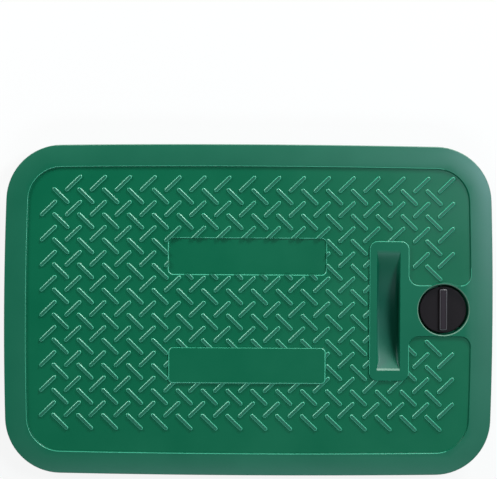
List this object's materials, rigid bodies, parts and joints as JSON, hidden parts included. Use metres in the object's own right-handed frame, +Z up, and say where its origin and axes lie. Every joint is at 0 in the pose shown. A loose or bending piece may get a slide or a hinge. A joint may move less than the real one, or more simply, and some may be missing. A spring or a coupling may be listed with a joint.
{
  "type": "valve box cover",
  "caption": "Rectangular moulded plastic cover for a buried valve box, with an anti-slip tread, a finger pocket and a quarter-turn twist lock.",
  "frame": {"origin": "middle of the cover on the plane that the foot of the skirt stands on", "axes": "+X along the cover towards the lock, +Y across it, +Z up through the tread"},
  "size_m": [0.49, 0.332, 0.036],
  "materials": {
    "green_plastic": "satin moulded polyethylene",
    "black_plastic": "satin moulded nylon",
    "zinc_steel": "zinc plated"
  },
  "bodies": {
    "lid": {"lid": "green_plastic"},
    "lock": {"lock_knob": "black_plastic", "lock_cam": "black_plastic", "cam_washer": "zinc_steel", "cam_screw": "zinc_steel"}
  },
  "joints": [
    {"name": "lock_turn", "type": "hinge", "parent": "lid", "child": "lock", "pos_m": [0.1953, 0.0012, 0.026], "axis": [0, 0, 1], "range_deg": [0, 90]}
  ]
}
